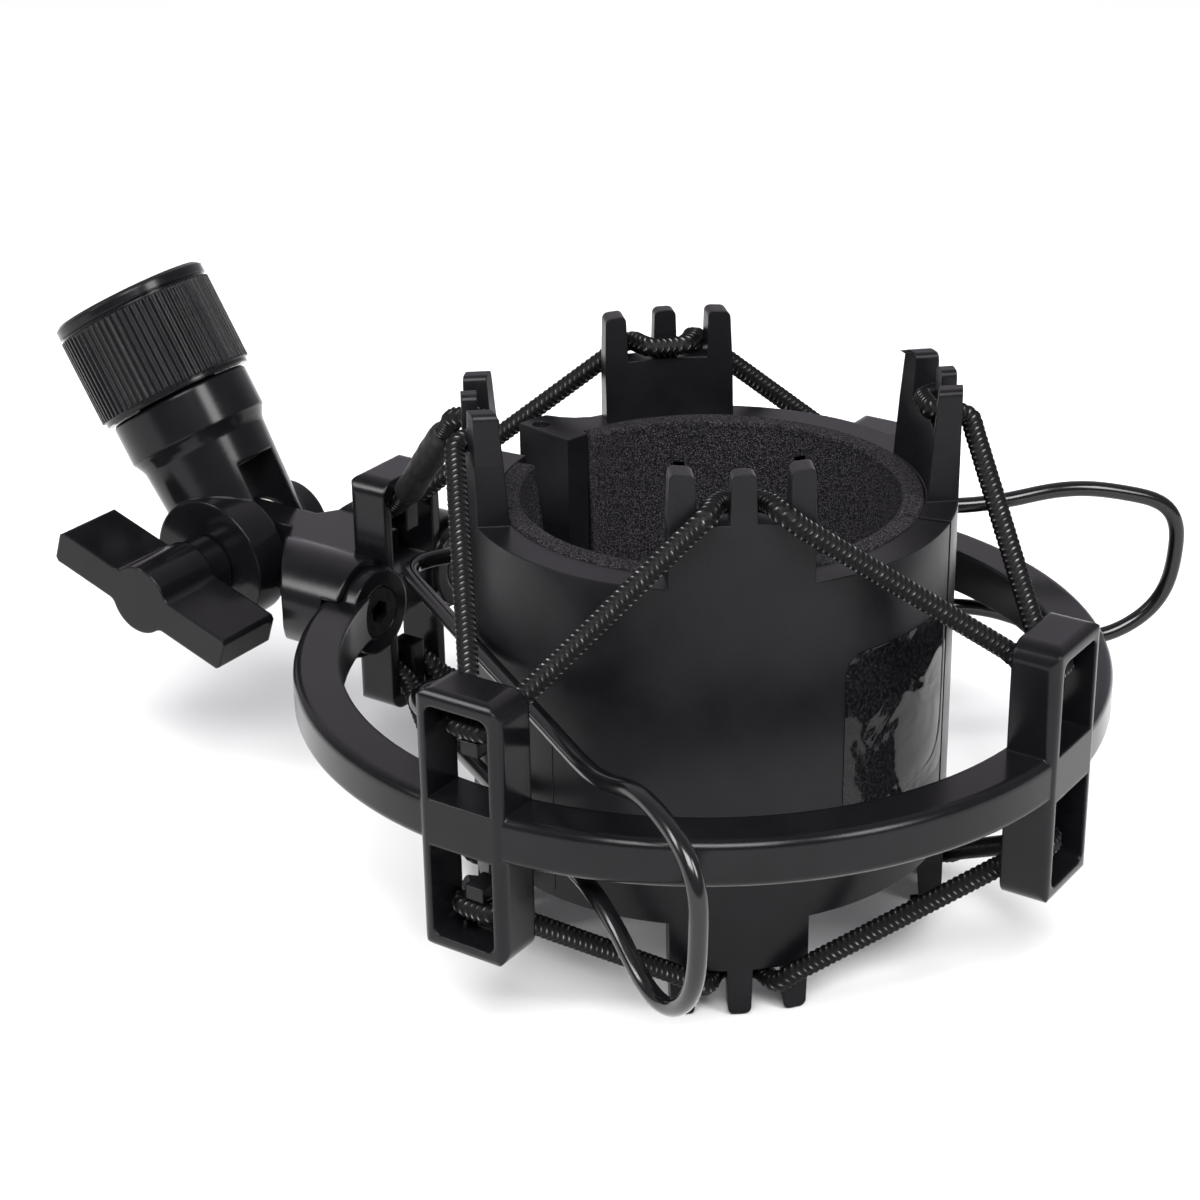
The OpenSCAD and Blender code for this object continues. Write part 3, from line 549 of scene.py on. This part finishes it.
def foam(name, body, a0, a1, mat):
    """A lining from azimuth a0 to a1, uneven on its free faces; the front one's end leans back."""
    r0, r1, z0, z1, c = FOAM_R - FOAM_T, FOAM_R - FOAM_GAP - 0.05, -RIM_BOTTOM, RIM_TOP + 0.3, 0.5
    prof = foam_profile(r0, r1, z0, z1, c)
    n, m = int((a1 - a0) / 1.1), len(prof)
    ang = np.radians(np.linspace(a0, a1, n))
    v = np.zeros((n, m, 3))
    lean_from, lean_by, lean_rows = 14, 6 if a0 > 180 else 0, 12
    lean = np.clip((prof[:, 1] - lean_from) / (z1 - lean_from), 0, 1) * lean_by
    for i, t in enumerate(ang):
        a = t + np.radians(lean) * max(0, 1 - i / lean_rows)
        v[i, :, 0], v[i, :, 1], v[i, :, 2] = prof[:, 0] * np.cos(a), prof[:, 0] * np.sin(a), prof[:, 1]
    for i in range(n):
        for k in range(m):
            r, z = prof[k]
            if r > r1 - 0.3:
                continue
            q = Vector(v[i, k])
            d = 0.09 * noise.noise(q * 1.9) + 0.06 * noise.noise(q * 0.5)
            inside = z0 + c < z < z1 - c
            out = polar(-1, math.degrees(ang[i])) if inside else np.array([0, 0, 1.0 if z > 0 else -1.0])
            v[i, k] += out * (d - 0.05)
    v = v.reshape(-1, 3)
    faces = []
    for i in range(n - 1):
        for k in range(m):
            a, b, up = i * m, (i + 1) * m, (k + 1) % m
            faces.append((a + k, b + k, b + up, a + up))
    faces += [tuple(range(m)), tuple((n - 1) * m + k for k in range(m - 1, -1, -1))]
    o = add_mesh(name + "_lining", v, faces, body, [mat])
    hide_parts(name)


# ---------------------------------------------------------------- label film and seam
def on_barrel(name, outline, r, thick, mats, step=1.0):
    """A thin film on the front half; the outline gives its lowest and highest point at an azimuth."""
    a0, a1 = outline[0][0], outline[-1][0]
    ang = np.linspace(a0, a1, int((a1 - a0) / step) + 1)
    low, high = (np.interp(ang, [p[0] for p in outline], [p[k] for p in outline]) for k in (1, 2))
    rows = 14
    u = np.linspace(0, 1, rows)
    z = low[:, None] * (1 - u) + high[:, None] * u
    c, s = np.cos(np.radians(ang))[:, None], np.sin(np.radians(ang))[:, None]
    sheets = [np.stack([x * c + 0 * z, x * s + 0 * z, z], -1).reshape(-1, 3) for x in (r + thick, r)]
    n = len(ang)
    f = []
    for i in range(n - 1):
        for k in range(rows - 1):
            p = i * rows + k
            f += [(p, p + rows, p + rows + 1, p + 1)]
            f += [tuple(x + n * rows for x in (p, p + 1, p + rows + 1, p + rows))]
    rim = list(range(rows)) + [i * rows + rows - 1 for i in range(1, n)]
    rim += [(n - 1) * rows + k for k in range(rows - 2, -1, -1)] + [i * rows for i in range(n - 2, 0, -1)]
    for p, q in zip(rim, rim[1:] + rim[:1]):
        f.append((p, q, q + n * rows, p + n * rows))
    return add_mesh(name, np.vstack(sheets), f, "front_half", mats, smooth=False)


def label(film, line):
    """The bare glossy film where such a mount carries its label, with its thin border."""
    end = 360 + SLIT_ANGLE - 1.2
    outline = []
    for t in np.linspace(0, math.pi / 2, 7):
        d = 2.5 * (1 - math.sin(t))
        outline.append((LABEL_LEFT + 4.6 * (1 - math.cos(t)), LABEL_LOW + d, LABEL_TOP - d))
    outline += [(345, -8.6, LABEL_TOP), (end - 3, LABEL_LOW, LABEL_TOP), (end, -7.2, LABEL_TOP)]
    on_barrel("label_film", outline, SHELL_R + 0.01, 0.1, [film])
    border = [(351.2, -8.0), (355, -7.0), (361.9, -6.2), (365.6, -5.6), (368.2, -4.4), (369.4, -2.4),
              (369.8, 0), (369.9, 13.4)]
    pts = [polar(SHELL_R + 0.12, a, z) for a, z in border]
    p, _, _ = resample(soft_path(pts, 2.0, 5), 0.4)
    v, f = tube(p, 0.1, 8)
    add_mesh("label_border", v, f, "front_half", [line])


def seam(mat):
    """The mould's parting line up the front half."""
    p = np.array([polar(SHELL_R + 0.01, SEAM_ANGLE, z) for z in np.linspace(SEAM_LOW, SEAM_TOP, 40)])
    v, f = tube(p, 0.08, 8)
    add_mesh("parting_line", v, f, "front_half", [mat])


def film_material():
    """Glossy film, a little wavy where it has dried on the barrel."""
    mat, t, b = new_material("gloss_film", (0.004, 0.004, 0.0045), 0.06, 0.15)
    wave = texture(t, "ShaderNodeTexNoise",
                   {"Scale": 110.0, "Detail": 2.0, "Roughness": 0.5, "Distortion": 0.8})
    dust = texture(t, "ShaderNodeTexNoise", {"Scale": 2600.0, "Detail": 2.0})
    gloss = [(0.45, grey(0.05)), (0.75, grey(0.22))]
    t.links.new(ramp(t, dust.outputs["Fac"], gloss), b.inputs["Roughness"])
    tones = [(0.4, (0.003, 0.003, 0.0035)), (0.8, (0.012, 0.0115, 0.0125))]
    t.links.new(ramp(t, dust.outputs["Fac"], tones), b.inputs["Base Color"])
    bump(t, b, wave.outputs["Fac"], 0.5, 0.001)
    return mat


# ---------------------------------------------------------------- main
camera()
stage()
SATIN = moulded("satin_black", (0.0038, 0.0035, 0.0043), 0.18, 5200.0, 0.08, 0.17, bevel=0.5)
SHELL = moulded("matt_black", (0.0046, 0.0042, 0.0052), 0.33, 4200.0, 0.3, 0.13, bevel=0.28)
WIRE = moulded("coated_wire", (0.003, 0.003, 0.0034), 0.16, 3000.0, 0.06, 0.36, bevel=0)
STEEL = metal("bright_steel", (0.55, 0.55, 0.57), 0.35)
BLACK_STEEL = metal("black_steel", (0.02, 0.02, 0.022), 0.4)
BRASS = metal("thread_brass", (0.6, 0.42, 0.16), 0.3)
NYLON = moulded("white_nylon", (0.6, 0.59, 0.55), 0.5, 3000.0, 0.2, 0.4)
dress(["outer_ring", "bracket_arm", "stand_socket", "collar", "wing_knob"], SATIN)
dress(["front_shell", "rear_shell"], SHELL)
dress(["front_foam", "rear_foam", "top_elastic", "bottom_elastic", "top_sleeve", "bottom_sleeve"], SHELL)
RUBBER = moulded("black_rubber", (0.005, 0.005, 0.0054), 0.5, 2600.0, 0.35, 0.2, bevel=0)
dress(["hinge_pin", "hinge_spring", "tilt_nut", "collar_clip", "knob_stud"], STEEL)
dress(["bracket_screws"], BLACK_STEEL)
dress(["thread_insert"], BRASS)
dress(["tilt_washers"], NYLON)
handles(WIRE)
elastics(braid_material(), RUBBER)
label(film_material(), moulded("border_grey", (0.05, 0.05, 0.05), 0.4, 3000.0, 0.1, 0.3, bevel=0))
seam(SHELL)
slit = math.degrees(math.asin(SLIT / 2 / SHELL_R))
FOAM = foam_material()
foam("front_foam", "front_half", 186, 360 + SLIT_ANGLE - slit, FOAM)
foam("rear_foam", "rear_half", SLIT_ANGLE + slit, 160, FOAM)
